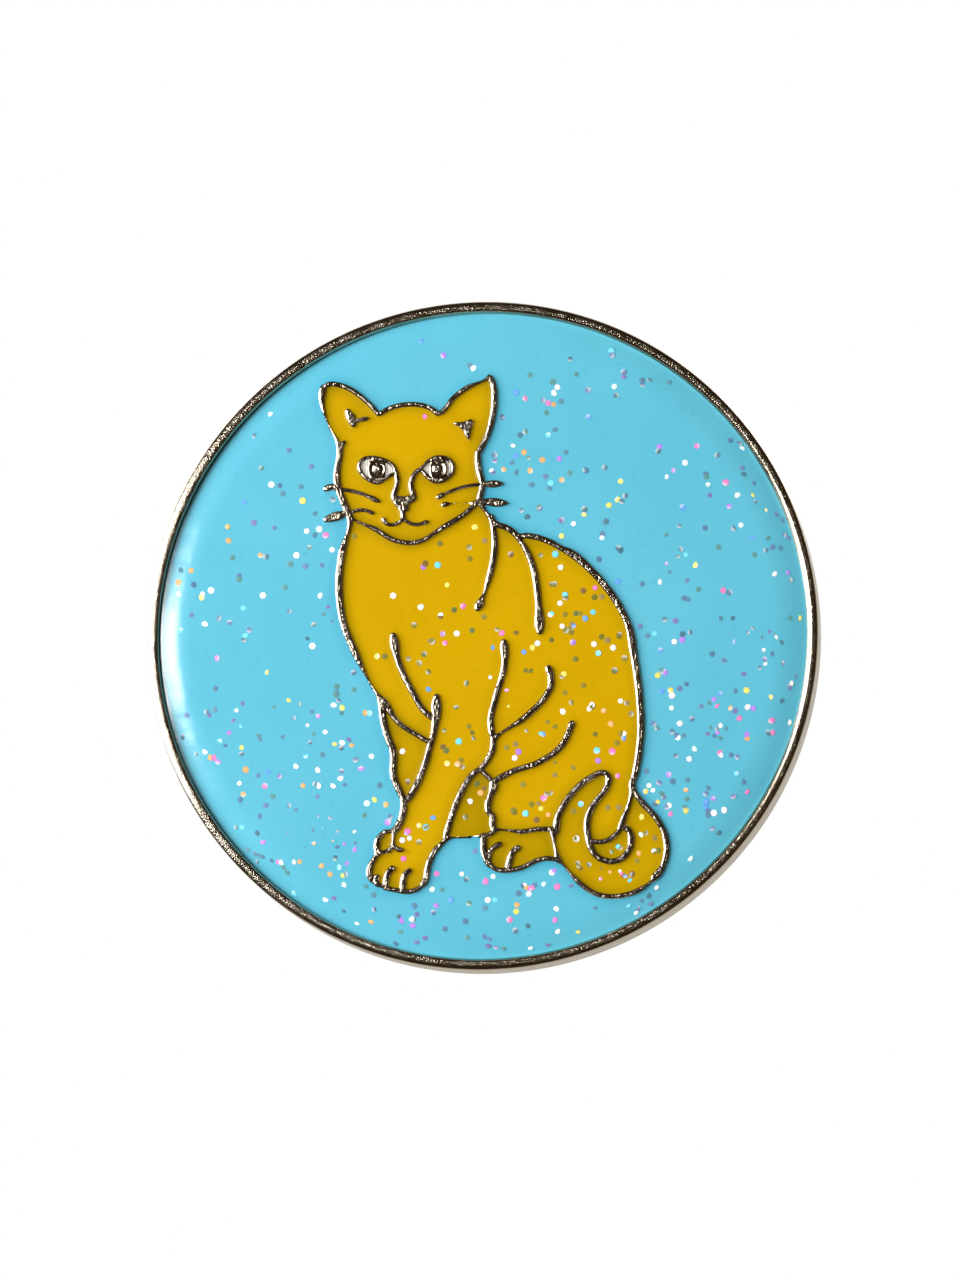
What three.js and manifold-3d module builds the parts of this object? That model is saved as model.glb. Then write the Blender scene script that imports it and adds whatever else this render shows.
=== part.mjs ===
// Round soft-enamel lapel pin of a sitting cat: one die-struck metal base, enamel poured into its cells,
// two posts welded to the back and a butterfly clutch on each post.
// Millimetres. The face looks along -Y, +Z is up as worn, the origin is the middle of the flat back face.
import * as THREE from "three";
import { mergeVertices } from "three/addons/utils/BufferGeometryUtils.js";
import Module from "manifold-3d";

// Struck base
const FACE_RADIUS = 16;
const DRAWN_RADIUS = 16;
const RIM_WIDTH = 0.48;
const BASE_THICKNESS = 2.2;
const RECESS_DEPTH = 0.5;
const LINE_DROP = 0.06;
const EDGE_ROUND = 0.18;
const ROUND_STEPS = 72;
const SMALL_STEPS = 16;

// Raised lines
const OUTLINE_WIDTH = 0.3;
const FOLD_WIDTH = 0.32;
const CREASE_WIDTH = 0.26;
const THIN_WIDTH = 0.21;
const FINE_WIDTH = 0.15;
const WHISKER_TIP_WIDTH = 0.27;
const IRIS_RADIUS = 0.42;
const TURN_PER_STEP = 0.25;
const SHORTEST_STEP = 0.12;
const LONGEST_STEP = 1.7;
const SHORTEST_EDGE = 0.02;

// Enamel
const ENAMEL_DROP = 0.16;
const ENAMEL_GAP = 0.02;

// Posts
const POST_SPACING = 16;
const POST_RADIUS = 0.55;
const POST_LENGTH = 8;
const POST_FOOT_RADIUS = 1.28;
const POST_FOOT_HEIGHT = 0.2;
const POST_SEAT_DEPTH = 0.12;
const POST_SEAT_GAP = 0.02;
const POST_GROOVE_DEPTH = 0.14;

// Butterfly clutches
const CLOTH_GAP = 2.25;
const DISC_RADIUS = 5.5;
const SHEET = 0.36;
const CLUTCH_HOLE_GAP = 0.17;
const PART_GAP = 0.02;
const HINGE_SPACING = 3.4;
const HINGE_HEIGHT = 2.6;
const BARREL_RADIUS = 0.55;
const LUG_RADIUS = 0.38;
const LUG_GAP = 0.04;
const WING_WIDTH = 3.7;
const TAB_WIDTH = 5.2;
const TAB_REACH = 5.6;
const JAW_GAP = 0.05;
const JAW_HEIGHT = 1.45;
const CHEEK_GAP = 0.1;
const SPRING_WIRE_RADIUS = 0.17;
const SPRING_INSET = 0.45;

const wasm = await Module();
wasm.setup();

const wellRadius = FACE_RADIUS - RIM_WIDTH;
const floorHeight = BASE_THICKNESS - RECESS_DEPTH;
const lineTop = BASE_THICKNESS - LINE_DROP;
const enamelTop = BASE_THICKNESS - ENAMEL_DROP;
const drawingScale = FACE_RADIUS / DRAWN_RADIUS;

function solid(geometry) {
  const bare = geometry.clone();
  bare.deleteAttribute("normal");
  bare.deleteAttribute("uv");
  const merged = mergeVertices(bare, 1e-5);
  return new wasm.Manifold(
    new wasm.Mesh({
      numProp: 3,
      vertProperties: new Float32Array(merged.attributes.position.array),
      triVerts: new Uint32Array(merged.index.array),
    }),
  );
}

function geometryOf(body) {
  const mesh = body.getMesh();
  const geometry = new THREE.BufferGeometry();
  geometry.setAttribute("position", new THREE.BufferAttribute(mesh.vertProperties, 3));
  geometry.setIndex(new THREE.BufferAttribute(mesh.triVerts, 1));
  const flat = geometry.toNonIndexed();
  flat.computeVertexNormals();
  return flat;
}

function prism(outline, low, high) {
  const shape = new THREE.Shape(outline.map(([x, y]) => new THREE.Vector2(x, y)));
  const geometry = new THREE.ExtrudeGeometry(shape, { depth: high - low, bevelEnabled: false });
  geometry.translate(0, 0, low);
  return solid(geometry);
}

// Lathe profiles are [radius, height] pairs turned about the Z axis, listed with the solid on their left.
function turned(profile, steps) {
  const points = profile.map(([r, h]) => new THREE.Vector2(r, h));
  const geometry = new THREE.LatheGeometry(points, steps);
  geometry.rotateX(Math.PI / 2);
  return solid(geometry);
}

function cylinder(radius, low, high, steps) {
  return turned([[0, low], [radius, low], [radius, high], [0, high]], steps);
}

// The points of a smooth line through the given ones, with a new point wherever it has turned far enough.
function smoothLine(points) {
  if (points.length < 3) return points.map(([x, y]) => new THREE.Vector2(x, y));
  const curve = new THREE.SplineCurve(points.map(([x, y]) => new THREE.Vector2(x, y)));
  const fine = curve.getPoints(16 * (points.length - 1));
  const kept = [fine[0]];
  let turn = 0;
  for (let i = 1; i < fine.length - 1; i++) {
    const before = fine[i].clone().sub(fine[i - 1]);
    const after = fine[i + 1].clone().sub(fine[i]);
    turn += Math.abs(Math.atan2(before.cross(after), before.dot(after)));
    const step = fine[i].distanceTo(kept[kept.length - 1]);
    const bent = turn >= TURN_PER_STEP && step > SHORTEST_STEP;
    if (bent || step > LONGEST_STEP) {
      kept.push(fine[i]);
      turn = 0;
    }
  }
  const end = fine[fine.length - 1];
  if (kept.length > 2 && end.distanceTo(kept[kept.length - 1]) < SHORTEST_STEP) kept.pop();
  kept.push(end);
  return kept;
}

// A band of even width with round ends along a line of points.
function band(points, width) {
  const line = smoothLine(points);
  const half = width / 2;
  const left = [];
  const right = [];
  line.forEach((point, i) => {
    const before = line[Math.max(i - 1, 0)];
    const after = line[Math.min(i + 1, line.length - 1)];
    const along = after.clone().sub(before).normalize();
    left.push([point.x - along.y * half, point.y + along.x * half]);
    right.push([point.x + along.y * half, point.y - along.x * half]);
  });
  const cap = (end, inner) => {
    const away = end.clone().sub(inner).normalize();
    const start = Math.atan2(away.y, away.x);
    return [-1, 0, 1].map((k) => {
      const angle = start + (k * Math.PI) / 4;
      return [end.x + half * Math.cos(angle), end.y + half * Math.sin(angle)];
    });
  };
  const last = line.length - 1;
  return [
    ...right,
    ...cap(line[last], line[last - 1]),
    ...left.reverse(),
    ...cap(line[0], line[1]),
  ];
}

// Each line of the drawing as [width, points], points in millimetres from the middle of the face.
function catOutline() {
  return [
    [OUTLINE_WIDTH, [[-6.81, 9.03], [-7.03, 9.63], [-7.33, 10.57], [-7.64, 11.5], [-7.67, 11.76],
      [-7.6, 11.98]]],
    [THIN_WIDTH, [[-7.6, 11.98], [-7.46, 12.1], [-7.18, 12.15], [-6.66, 12.04], [-6.05, 11.72],
      [-5.45, 11.18], [-5.0, 10.7]]],
    [THIN_WIDTH, [[-5.0, 10.68], [-4.85, 10.72], [-4.47, 10.93], [-3.9, 11.08], [-3.35, 11.12],
      [-2.8, 11.04], [-2.37, 10.85], [-2.12, 10.64]]],
    [THIN_WIDTH, [[-2.12, 10.65], [-1.9, 10.77], [-1.53, 11.24], [-1.15, 11.6], [-0.43, 12.06],
      [0.33, 12.36]]],
    [CREASE_WIDTH, [[0.33, 12.36], [0.5, 12.08], [0.58, 11.5], [0.54, 10.7], [0.32, 9.82], [-0.01, 9.07],
      [-0.2, 8.72]]],
    [CREASE_WIDTH, [[-0.2, 8.72], [-0.2, 8.35], [-0.05, 7.67], [0.02, 7.2], [-0.08, 6.7], [-0.17, 6.4]]],
    [OUTLINE_WIDTH, [[-6.81, 9.03], [-6.93, 8.3], [-6.96, 7.6], [-6.89, 7.05], [-6.67, 6.55], [-6.45, 5.97],
      [-6.32, 5.66]]],
    [OUTLINE_WIDTH, [[-6.32, 5.66], [-6.5, 4.93], [-6.72, 4.0], [-6.85, 3.07], [-6.84, 2.0], [-6.71, 1.0],
      [-6.42, -0.07], [-5.95, -1.0], [-5.46, -1.93], [-4.97, -2.8], [-4.8, -3.3], [-4.69, -4.16],
      [-4.42, -5.08], [-4.26, -5.5], [-4.24, -6.56], [-4.13, -7.04], [-3.86, -7.58], [-3.73, -8.0],
      [-3.79, -8.48], [-3.96, -8.96], [-4.16, -9.28]]],
    [THIN_WIDTH, [[-4.16, -9.28], [-4.54, -9.36], [-4.78, -9.46], [-4.93, -9.66]]],
    [CREASE_WIDTH, [[-4.93, -9.66], [-5.02, -9.9], [-5.03, -10.16], [-5.0, -10.42], [-5.2, -10.72],
      [-5.37, -11.1], [-5.38, -11.42], [-5.24, -11.66]]],
    [THIN_WIDTH, [[-5.24, -11.66], [-5.06, -11.83], [-4.86, -11.94], [-4.5, -12.08], [-4.16, -12.17],
      [-3.8, -12.22], [-3.4, -12.22], [-3.1, -12.12], [-2.82, -11.9]]],
    [CREASE_WIDTH, [[-2.82, -11.9], [-2.68, -11.62], [-2.6, -11.12], [-2.45, -10.64], [-2.22, -10.25],
      [-1.73, -9.73]]],
    [THIN_WIDTH, [[-1.73, -9.73], [-1.2, -9.67], [-0.5, -9.59], [0.1, -9.6], [0.4, -9.5], [0.57, -9.35]]],
    [CREASE_WIDTH, [[0.06, -9.6], [0.05, -10.1], [0.13, -10.6], [0.38, -11.02]]],
    [THIN_WIDTH, [[0.38, -11.02], [0.74, -11.23], [1.22, -11.26], [1.7, -11.2], [2.1, -11.03],
      [2.66, -10.79], [3.15, -10.71], [3.62, -10.8]]],
    [THIN_WIDTH, [[3.62, -10.8], [3.93, -11.1], [4.61, -11.88], [5.0, -12.19], [5.48, -12.45],
      [6.2, -12.56], [7.0, -12.44], [7.56, -12.19], [8.15, -11.73]]],
    [CREASE_WIDTH, [[8.15, -11.73], [8.62, -11.08], [8.78, -10.35], [8.68, -9.62], [8.23, -8.77],
      [7.57, -8.05], [7.3, -7.68], [7.14, -7.4]]],
    [CREASE_WIDTH, [[-0.17, 6.4], [0.16, 6.0], [0.42, 5.63], [0.62, 5.34], [1.0, 5.2], [1.33, 5.03],
      [1.66, 4.74]]],
    [CREASE_WIDTH, [[1.66, 4.74], [2.2, 4.72], [3.2, 4.43], [3.95, 4.02]]],
    [OUTLINE_WIDTH, [[3.95, 4.02], [4.79, 3.42], [5.53, 2.67], [6.19, 1.85], [6.7, 0.97], [7.02, 0.2],
      [7.17, -0.67], [7.35, -1.83], [7.49, -3.0], [7.55, -4.4], [7.52, -5.36], [7.41, -6.15],
      [7.14, -7.4]]],
    [CREASE_WIDTH, [[7.14, -7.4], [6.93, -8.0], [6.67, -8.96], [6.56, -9.36]]],
  ];
}

function faceLines() {
  return [
    [THIN_WIDTH, [[-6.4, 5.83], [-5.96, 5.56], [-5.21, 5.19], [-4.51, 4.77], [-4.1, 4.56], [-3.5, 4.46],
      [-3.0, 4.52], [-2.6, 4.72], [-1.95, 5.21], [-1.2, 5.63], [-0.75, 5.9], [-0.4, 6.25], [-0.17, 6.4]]],
    [THIN_WIDTH, [[-4.15, 7.89], [-4.08, 7.6], [-4.07, 7.4], [-4.21, 6.88], [-4.22, 6.6], [-3.98, 6.2],
      [-3.81, 5.93], [-3.78, 5.6]]],
    [FINE_WIDTH, [[-3.8, 5.62], [-4.05, 5.42], [-4.33, 5.34], [-4.6, 5.41], [-4.73, 5.62]]],
    [FINE_WIDTH, [[-3.77, 5.6], [-3.53, 5.44], [-3.25, 5.34], [-2.93, 5.36], [-2.65, 5.46]]],
    [THIN_WIDTH, [[-2.95, 8.0], [-3.2, 7.82], [-3.37, 7.5], [-3.41, 7.2], [-3.34, 6.9], [-3.28, 6.65],
      [-3.38, 6.48], [-3.58, 6.36], [-3.67, 6.05]]],
    [FINE_WIDTH, [[-6.92, 7.12], [-6.5, 7.05], [-5.96, 6.92], [-5.4, 6.7], [-4.98, 6.48]]],
    [WHISKER_TIP_WIDTH, [[-7.47, 7.12], [-7.2, 7.2], [-6.95, 7.16]]],
    [FINE_WIDTH, [[-6.5, 5.93], [-6.2, 5.99], [-5.87, 5.99], [-5.5, 6.02], [-5.27, 5.92]]],
    [WHISKER_TIP_WIDTH, [[-7.45, 5.64], [-7.2, 5.71], [-6.5, 5.93]]],
    [FINE_WIDTH, [[-2.1, 6.63], [-1.75, 6.82], [-1.19, 7.01], [-0.6, 7.17], [0.02, 7.23]]],
    [THIN_WIDTH, [[-2.08, 6.64], [-1.93, 6.74]]],
    [THIN_WIDTH, [[0.02, 7.23], [0.45, 7.23], [0.86, 7.24]]],
    [FINE_WIDTH, [[-1.85, 6.27], [-1.33, 6.36], [-0.7, 6.4], [-0.17, 6.4]]],
    [THIN_WIDTH, [[-1.85, 6.27], [-1.7, 6.3]]],
    [THIN_WIDTH, [[-0.17, 6.4], [0.3, 6.37], [0.75, 6.33], [1.1, 6.31]]],
    [THIN_WIDTH, [[-6.44, 10.83], [-6.32, 10.5], [-6.17, 10.16]]],
    [THIN_WIDTH, [[-6.36, 10.72], [-6.12, 10.35]]],
    [FINE_WIDTH, [[-6.17, 10.25], [-5.93, 10.37], [-5.52, 10.46]]],
    [FINE_WIDTH, [[-6.77, 9.05], [-6.62, 9.34]]],
  ];
}

function eyeLines() {
  return [
    [FINE_WIDTH, [[-4.17, 7.93], [-4.28, 8.19], [-4.56, 8.4], [-5.0, 8.55], [-5.45, 8.59], [-5.75, 8.48],
      [-5.89, 8.25], [-5.84, 7.93], [-5.62, 7.64], [-5.31, 7.46], [-5.02, 7.36], [-4.75, 7.48],
      [-4.45, 7.69], [-4.1, 7.84]]],
    [FINE_WIDTH, [[-2.95, 8.0], [-2.65, 8.32], [-2.27, 8.54], [-1.9, 8.56], [-1.57, 8.41], [-1.4, 8.1],
      [-1.45, 7.8], [-1.69, 7.54], [-2.0, 7.38], [-2.27, 7.38], [-2.53, 7.54], [-2.75, 7.8],
      [-2.95, 8.0]]],
  ];
}

function irises() {
  return [
    [[-5.05, 8.0], 1.22],
    [[-2.11, 7.98], 1.2],
  ];
}

// Filled raised patches: the nose and the mark inside the right ear.
function patches() {
  return [
    [[-4.24, 6.86], [-4.3, 6.64], [-4.03, 6.35], [-3.84, 6.05], [-3.7, 6.03], [-3.56, 6.34], [-3.28, 6.55],
      [-3.24, 6.82], [-3.4, 6.86], [-3.62, 6.75], [-3.95, 6.75], [-4.12, 6.84]],
    [[-1.38, 10.14], [-1.3, 10.24], [-0.95, 10.24], [-0.56, 10.37], [-0.44, 10.24], [-0.5, 9.98],
      [-0.58, 9.7], [-0.64, 9.36], [-0.78, 9.55], [-0.95, 9.86], [-1.2, 10.02]],
  ];
}

function bodyLines() {
  return [
    [CREASE_WIDTH, [[0.42, 5.65], [0.52, 5.2], [0.59, 4.6], [0.57, 4.0], [0.42, 3.15], [0.12, 2.05],
      [-0.1, 1.55], [-0.22, 1.28]]],
    [FOLD_WIDTH, [[-0.08, 1.6], [-0.2, 1.33]]],
    [CREASE_WIDTH, [[1.56, 4.84], [1.78, 4.45], [2.05, 4.0], [2.34, 3.5], [2.55, 2.5], [2.68, 1.5],
      [2.73, 0.7], [2.74, 0.12]]],
    [CREASE_WIDTH, [[-4.26, 0.02], [-4.2, -0.5], [-4.08, -1.0], [-3.73, -1.93], [-3.25, -2.85],
      [-2.86, -3.5], [-2.55, -3.82], [-2.26, -4.0]]],
    [CREASE_WIDTH, [[-2.18, -2.93], [-2.19, -3.5], [-2.26, -4.2], [-2.36, -4.9], [-2.52, -5.45],
      [-2.8, -6.32], [-3.22, -7.25], [-3.5, -7.75], [-3.71, -8.0]]],
    [THIN_WIDTH, [[-4.86, -2.95], [-4.6, -3.33], [-4.22, -3.9], [-3.9, -4.24], [-3.3, -4.64],
      [-2.7, -4.98], [-2.42, -5.16]]],
    [CREASE_WIDTH, [[-4.16, -9.28], [-4.2, -9.68], [-4.29, -10.08]]],
    [THIN_WIDTH, [[-5.0, -10.42], [-4.7, -10.32], [-4.4, -10.2], [-4.29, -10.08], [-4.08, -10.18],
      [-3.88, -10.24]]],
    [CREASE_WIDTH, [[1.03, -0.35], [1.08, -0.9], [1.04, -1.5], [0.82, -2.4], [0.55, -3.3], [0.4, -4.1],
      [0.44, -4.6], [0.54, -4.98], [0.5, -5.4], [0.38, -5.72], [0.1, -6.12], [-0.1, -6.42],
      [-0.38, -6.6], [-0.84, -7.18], [-1.02, -7.6], [-1.35, -8.45], [-1.66, -9.25], [-1.73, -9.73]]],
    [CREASE_WIDTH, [[0.56, -5.0], [1.22, -4.59], [2.12, -3.88], [2.87, -3.12], [3.2, -2.65],
      [3.28, -2.15], [3.16, -1.62]]],
    [CREASE_WIDTH, [[0.52, -7.04], [1.0, -6.74], [1.56, -6.53], [2.47, -6.22], [3.24, -5.82],
      [3.75, -5.36], [4.05, -4.85], [4.27, -4.28]]],
    [THIN_WIDTH, [[-0.1, -6.42], [0.22, -6.7], [0.5, -7.04]]],
    [CREASE_WIDTH, [[0.5, -7.04], [0.45, -7.5], [0.28, -8.0], [0.28, -8.38], [0.48, -8.7],
      [0.48, -9.0], [0.56, -9.34]]],
    [THIN_WIDTH, [[0.6, -7.05], [0.54, -7.5]]],
    [THIN_WIDTH, [[0.57, -9.35], [1.2, -9.36], [1.95, -9.42], [2.6, -9.33], [3.28, -9.32]]],
    [CREASE_WIDTH, [[3.28, -9.32], [3.43, -9.7], [3.53, -10.3], [3.62, -10.81]]],
    [CREASE_WIDTH, [[3.45, -9.5], [3.55, -8.9], [3.78, -8.32], [4.12, -7.83], [4.5, -7.38],
      [4.95, -7.0], [5.4, -6.75], [5.75, -6.65], [5.98, -6.8], [6.0, -7.1], [5.87, -7.4], [5.44, -7.98],
      [5.12, -8.48], [5.0, -9.0], [4.99, -9.4], [5.07, -9.85], [5.2, -10.3], [5.5, -10.68],
      [6.0, -10.88], [6.4, -10.85], [6.74, -10.66], [7.02, -10.25], [7.08, -9.8], [6.98, -9.45],
      [6.72, -9.2], [6.6, -9.18]]],
    [THIN_WIDTH, [[5.06, -9.83], [5.3, -9.93], [5.8, -9.93], [6.15, -9.76], [6.56, -9.36]]],
    [THIN_WIDTH, [[-5.04, -11.5], [-5.07, -11.68], [-5.02, -11.86]]],
    [CREASE_WIDTH, [[-4.3, -11.12], [-4.48, -11.32], [-4.58, -11.6], [-4.6, -12.05]]],
    [CREASE_WIDTH, [[-3.5, -11.25], [-3.68, -11.42], [-3.78, -11.75], [-3.8, -12.2]]],
    [THIN_WIDTH, [[0.82, -10.0], [0.6, -10.13], [0.38, -10.34], [0.3, -10.6], [0.3, -10.85]]],
    [CREASE_WIDTH, [[1.68, -10.2], [1.46, -10.38], [1.32, -10.7], [1.22, -11.2]]],
  ];
}

function allLines() {
  return [...catOutline(), ...faceLines(), ...eyeLines(), ...bodyLines()];
}

function placed([x, y]) {
  return [x * drawingScale, y * drawingScale];
}

// The raised drawing as one solid between two heights, every edge moved out by the given amount.
function drawing(low, high, extra) {
  const outlines = [
    ...allLines().map(([width, points]) => band(points.map(placed), width + 2 * extra)),
    ...patches().map((outline) => grown(outline.map(placed), extra)),
    ...irises().map(([middle, height]) => irisOutline(placed(middle), height, extra)),
  ];
  return outlines.map((outline) => prism(outline, low, high)).reduce((sum, piece) => sum.add(piece));
}

function irisOutline([x, y], height, extra) {
  const steps = 18;
  const across = IRIS_RADIUS * drawingScale + extra;
  const up = (height * drawingScale) / 2 + extra;
  return Array.from({ length: steps }, (_, i) => {
    const angle = (2 * Math.PI * i) / steps;
    return [x + across * Math.cos(angle), y + up * Math.sin(angle)];
  });
}

function grown(outline, extra) {
  return outline.map(([x, y], i) => {
    const [ax, ay] = outline[(i + outline.length - 1) % outline.length];
    const [bx, by] = outline[(i + 1) % outline.length];
    const along = new THREE.Vector2(bx - ax, by - ay).normalize();
    return [x - along.y * extra, y + along.x * extra];
  });
}

function rimProfile() {
  return [
    [0, 0],
    [FACE_RADIUS - EDGE_ROUND, 0],
    [FACE_RADIUS, EDGE_ROUND],
    [FACE_RADIUS, BASE_THICKNESS - 2 * EDGE_ROUND],
    [FACE_RADIUS - 0.12, BASE_THICKNESS - 0.06],
    [FACE_RADIUS - RIM_WIDTH / 2, BASE_THICKNESS],
    [wellRadius, BASE_THICKNESS - 0.1],
    [wellRadius, floorHeight],
    [0, floorHeight],
  ];
}

function struckBase() {
  const seat = (x) => {
    const pocket = cylinder(POST_FOOT_RADIUS + POST_SEAT_GAP, -1, POST_SEAT_DEPTH, SMALL_STEPS);
    return pocket.translate([x, 0, 0]);
  };
  return turned(rimProfile(), ROUND_STEPS)
    .add(drawing(floorHeight - 0.3, lineTop, 0))
    .subtract(seat(-POST_SPACING / 2))
    .subtract(seat(POST_SPACING / 2))
    .simplify(SHORTEST_EDGE);
}

// Every closed cell of the drawing, named by one point that lies inside it.
function cellSeeds() {
  return {
    background_enamel: [-11, 0],
    head_enamel: [-3.5, 9.6],
    body_enamel: [-3, 2],
    far_leg_enamel: [-3.6, -5.6],
    far_paw_enamel: [-4.65, -9.85],
    belly_enamel: [-0.5, -8.3],
    hind_paw_enamel: [2.5, -10],
    tail_enamel: [4.4, -9.6],
    tail_curl_enamel: [6.2, -10.3],
    left_eye_outer_enamel: [-5.66, 8.15],
    left_eye_inner_enamel: [-4.47, 8.0],
    right_eye_inner_enamel: [-2.67, 8.0],
    right_eye_outer_enamel: [-1.57, 8.02],
  };
}

function enamelCells() {
  const pool = cylinder(wellRadius - ENAMEL_GAP, floorHeight + ENAMEL_GAP, enamelTop, ROUND_STEPS);
  const cells = pool.subtract(drawing(floorHeight - 1, BASE_THICKNESS + 1, ENAMEL_GAP)).decompose();
  const found = {};
  Object.entries(cellSeeds()).forEach(([name, seed]) => {
    const probe = cylinder(0.03, floorHeight, BASE_THICKNESS, 8).translate([...placed(seed), 0]);
    const cell = cells.find((body) => body.intersect(probe).volume() > 1e-5);
    if (cell) found[name] = cell.simplify(SHORTEST_EDGE);
  });
  return found;
}

function postProfile() {
  const groove = POST_LENGTH - 1.9;
  return [
    [0, -POST_SEAT_DEPTH + POST_SEAT_GAP],
    [POST_FOOT_RADIUS, -POST_SEAT_DEPTH + POST_SEAT_GAP],
    [POST_FOOT_RADIUS, POST_FOOT_HEIGHT],
    [POST_RADIUS + 0.2, POST_FOOT_HEIGHT + 0.14],
    [POST_RADIUS, POST_FOOT_HEIGHT + 0.4],
    [POST_RADIUS, groove],
    [POST_RADIUS - POST_GROOVE_DEPTH, groove + 0.1],
    [POST_RADIUS - POST_GROOVE_DEPTH, groove + 0.45],
    [POST_RADIUS, groove + 0.55],
    [POST_RADIUS, POST_LENGTH - 1.1],
    [POST_RADIUS * 0.55, POST_LENGTH - 0.35],
    [0, POST_LENGTH],
  ];
}

function post() {
  return turned(postProfile(), SMALL_STEPS);
}

// Clutch pieces are drawn with the post's axis along Z and the cloth side at height 0.
function clutchDisc() {
  const hole = POST_RADIUS + CLUTCH_HOLE_GAP;
  return turned(
    [
      [hole, 0.14],
      [hole + 0.3, 0],
      [DISC_RADIUS - 0.65, 0],
      [DISC_RADIUS - 0.2, 0.14],
      [DISC_RADIUS, 0.5],
      [DISC_RADIUS - 0.06, 0.78],
      [DISC_RADIUS - 0.32, 0.8],
      [DISC_RADIUS - 0.44, 0.55],
      [DISC_RADIUS - 0.75, SHEET],
      [hole, SHEET],
      [hole, 0.14],
    ],
    2 * SMALL_STEPS,
  );
}

// Turns a prism that was drawn in the X-Z plane so that its depth runs along Y, centred on the post.
function across(outline, width) {
  return prism(outline, -width / 2, width / 2).rotate([90, 0, 0]);
}

function rectangle(x0, x1, y0, y1) {
  return [[x0, y0], [x1, y0], [x1, y1], [x0, y1]];
}

function ring(x, y, radius, steps) {
  return Array.from({ length: steps }, (_, i) => {
    const angle = (2 * Math.PI * i) / steps;
    return [x + radius * Math.cos(angle), y + radius * Math.sin(angle)];
  });
}

function clutchFrame() {
  const low = SHEET + PART_GAP;
  const inside = WING_WIDTH / 2 + CHEEK_GAP;
  const halfLength = HINGE_SPACING / 2 + BARREL_RADIUS + 0.35;
  const top = HINGE_HEIGHT + BARREL_RADIUS + 0.15;
  const cheek = [
    [-halfLength, low],
    [halfLength, low],
    [halfLength, top - 0.5],
    [halfLength - 0.5, top],
    [-halfLength + 0.5, top],
    [-halfLength, top - 0.5],
  ];
  const block = across(cheek, 2 * (inside + SHEET));
  const channel = across(rectangle(-halfLength - 1, halfLength + 1, low + SHEET, top + 1), 2 * inside);
  const bore = (x) => across(ring(x, HINGE_HEIGHT, LUG_RADIUS + LUG_GAP, SMALL_STEPS), 20);
  const hole = cylinder(POST_RADIUS + CLUTCH_HOLE_GAP, -1, low + 1, SMALL_STEPS);
  return block
    .subtract(channel)
    .subtract(bore(-HINGE_SPACING / 2))
    .subtract(bore(HINGE_SPACING / 2))
    .subtract(hole);
}

function wingSection() {
  const x = HINGE_SPACING / 2;
  const h = HINGE_HEIGHT;
  const reach = TAB_REACH - x;
  return [
    [x, h],
    [x + 0.07 * reach, h + 0.8],
    [x + 0.22 * reach, h + 1.5],
    [x + 0.45 * reach, h + 2.1],
    [x + 0.72 * reach, h + 2.38],
    [x + reach, h + 2.3],
  ];
}

function tabPlan() {
  const x = HINGE_SPACING / 2;
  const half = WING_WIDTH / 2;
  const wide = TAB_WIDTH / 2;
  return [
    [x - 1, -half],
    [x + 0.7, -half],
    [x + 1.7, -wide],
    [TAB_REACH - 0.9, -wide],
    [TAB_REACH - 0.25, -wide + 0.4],
    [TAB_REACH + 0.05, -wide + 1.2],
    [TAB_REACH + 0.05, wide - 1.2],
    [TAB_REACH - 0.25, wide - 0.4],
    [TAB_REACH - 0.9, wide],
    [x + 1.7, wide],
    [x + 0.7, half],
    [x - 1, half],
  ];
}

function clutchWing() {
  const x = HINGE_SPACING / 2;
  const cheekOuter = WING_WIDTH / 2 + CHEEK_GAP + SHEET;
  const tab = across(band(wingSection(), SHEET), TAB_WIDTH + 1).intersect(prism(tabPlan(), 0, 20));
  const barrel = across(ring(x, HINGE_HEIGHT, BARREL_RADIUS, SMALL_STEPS), WING_WIDTH);
  const lugs = across(ring(x, HINGE_HEIGHT, LUG_RADIUS, SMALL_STEPS), 2 * (cheekOuter + 0.1));
  const web = across(rectangle(x - SHEET / 2, x + SHEET / 2, JAW_HEIGHT, HINGE_HEIGHT), 2.6);
  const jaw = across(rectangle(0.06, x + SHEET / 2, JAW_HEIGHT, JAW_HEIGHT + SHEET), 2.6);
  const notch = cylinder(POST_RADIUS + JAW_GAP, 0, HINGE_HEIGHT, SMALL_STEPS);
  return tab.add(barrel).add(lugs).add(web).add(jaw).subtract(notch);
}

// Hairpin of round wire: two legs beside the post, joined by a bend over one cheek.
function clutchSpring() {
  const leg = HINGE_SPACING / 2 - SPRING_INSET;
  const reach = WING_WIDTH / 2 - 0.15;
  const height = HINGE_HEIGHT + BARREL_RADIUS + 0.15 + SPRING_WIRE_RADIUS + 0.06;
  const bend = Array.from({ length: 9 }, (_, i) => {
    const angle = (Math.PI * i) / 8;
    return new THREE.Vector3(leg * Math.cos(angle), reach + leg * Math.sin(angle), height);
  });
  const points = [new THREE.Vector3(leg, -reach, height), ...bend, new THREE.Vector3(-leg, -reach, height)];
  const wire = ring(0, 0, SPRING_WIRE_RADIUS, 6);
  const section = new THREE.Shape(wire.map(([x, y]) => new THREE.Vector2(x, y)));
  const curve = new THREE.CatmullRomCurve3(points, false, "chordal");
  return new THREE.ExtrudeGeometry(section, { steps: 16, extrudePath: curve });
}

function metal(colour, roughness) {
  return new THREE.MeshStandardMaterial({ color: colour, metalness: 1, roughness });
}

function enamel(colour) {
  return new THREE.MeshStandardMaterial({ color: colour, metalness: 0, roughness: 0.22 });
}

function named(name, geometry, material) {
  const mesh = new THREE.Mesh(geometry, material);
  mesh.name = name;
  return mesh;
}

function enamelColour(name) {
  if (name === "background_enamel") return 0x6cc8e4;
  return name.includes("eye") ? 0xd8d4cc : 0xe0b000;
}

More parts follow.
